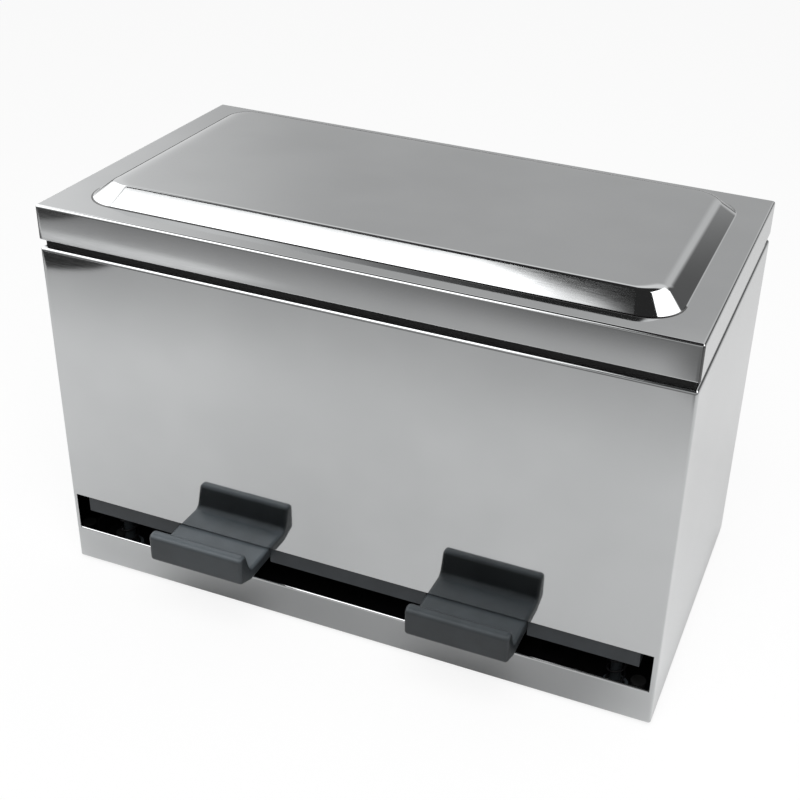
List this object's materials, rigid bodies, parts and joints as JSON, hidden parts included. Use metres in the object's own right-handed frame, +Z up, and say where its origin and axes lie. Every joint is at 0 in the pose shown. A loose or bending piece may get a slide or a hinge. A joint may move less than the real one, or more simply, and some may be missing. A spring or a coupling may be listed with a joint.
{
  "type": "chopstick holder with flip lid",
  "caption": "Stainless steel box for chopsticks with a hinged flip lid, a sloping hopper and a press-down rocker that lets sticks out through a front slot.",
  "frame": {"origin": "middle of the whole object's box in plan, at the underside of the feet", "axes": "+X along the width to the right seen from the front, +Y from the front slot to the back hinge, +Z up"},
  "size_m": [0.28, 0.1734, 0.1885],
  "materials": {
    "polished_sheet": "polished stainless sheet with a fine sideways grain",
    "satin_sheet": "satin stainless sheet",
    "black_base": "black coated steel base",
    "hinge_steel": "satin stainless",
    "bright_steel": "bright zinc plate",
    "spring_steel": "blackened spring wire",
    "rivet_metal": "plain aluminium",
    "dark_plastic": "dark grey moulded plastic with a fine satin texture",
    "rubber": "black rubber"
  },
  "bodies": {
    "case": {"case_shell": "polished_sheet", "back_panel": "polished_sheet", "base_plate": "black_base", "hopper_floor": "satin_sheet", "hinge_body_leaf": "hinge_steel", "hinge_pin": "hinge_steel", "hinge_rivets_body": "rivet_metal", "axle": "bright_steel", "axle_clips": "spring_steel", "left_bracket": "satin_sheet", "right_bracket": "satin_sheet", "bracket_rivets": "rivet_metal", "left_return_spring": "spring_steel", "right_return_spring": "spring_steel", "spring_seats": "dark_plastic", "stop_buffers": "rubber", "rubber_feet": "rubber"},
    "lid": {"lid": "polished_sheet", "hinge_lid_leaf": "hinge_steel", "hinge_rivets_lid": "rivet_metal"},
    "rocker": {"gate_bar": "dark_plastic", "left_cradle": "dark_plastic", "right_cradle": "dark_plastic", "cradle_screws": "bright_steel", "left_arm": "satin_sheet", "right_arm": "satin_sheet", "arm_screws": "bright_steel"}
  },
  "joints": [
    {"name": "lid_hinge", "type": "hinge", "parent": "case", "child": "lid", "pos_m": [0, 0.0852, 0.16425], "axis": [-1, 0, 0], "range_deg": [0, 135]},
    {"name": "rocker_press", "type": "hinge", "parent": "case", "child": "rocker", "pos_m": [0, -0.0123, 0.036], "axis": [1, 0, 0], "range_deg": [0, 11], "stiffness_Nm_per_rad": 0.7, "springref_deg": -25.78, "deforming": ["left_return_spring", "right_return_spring"]}
  ]
}
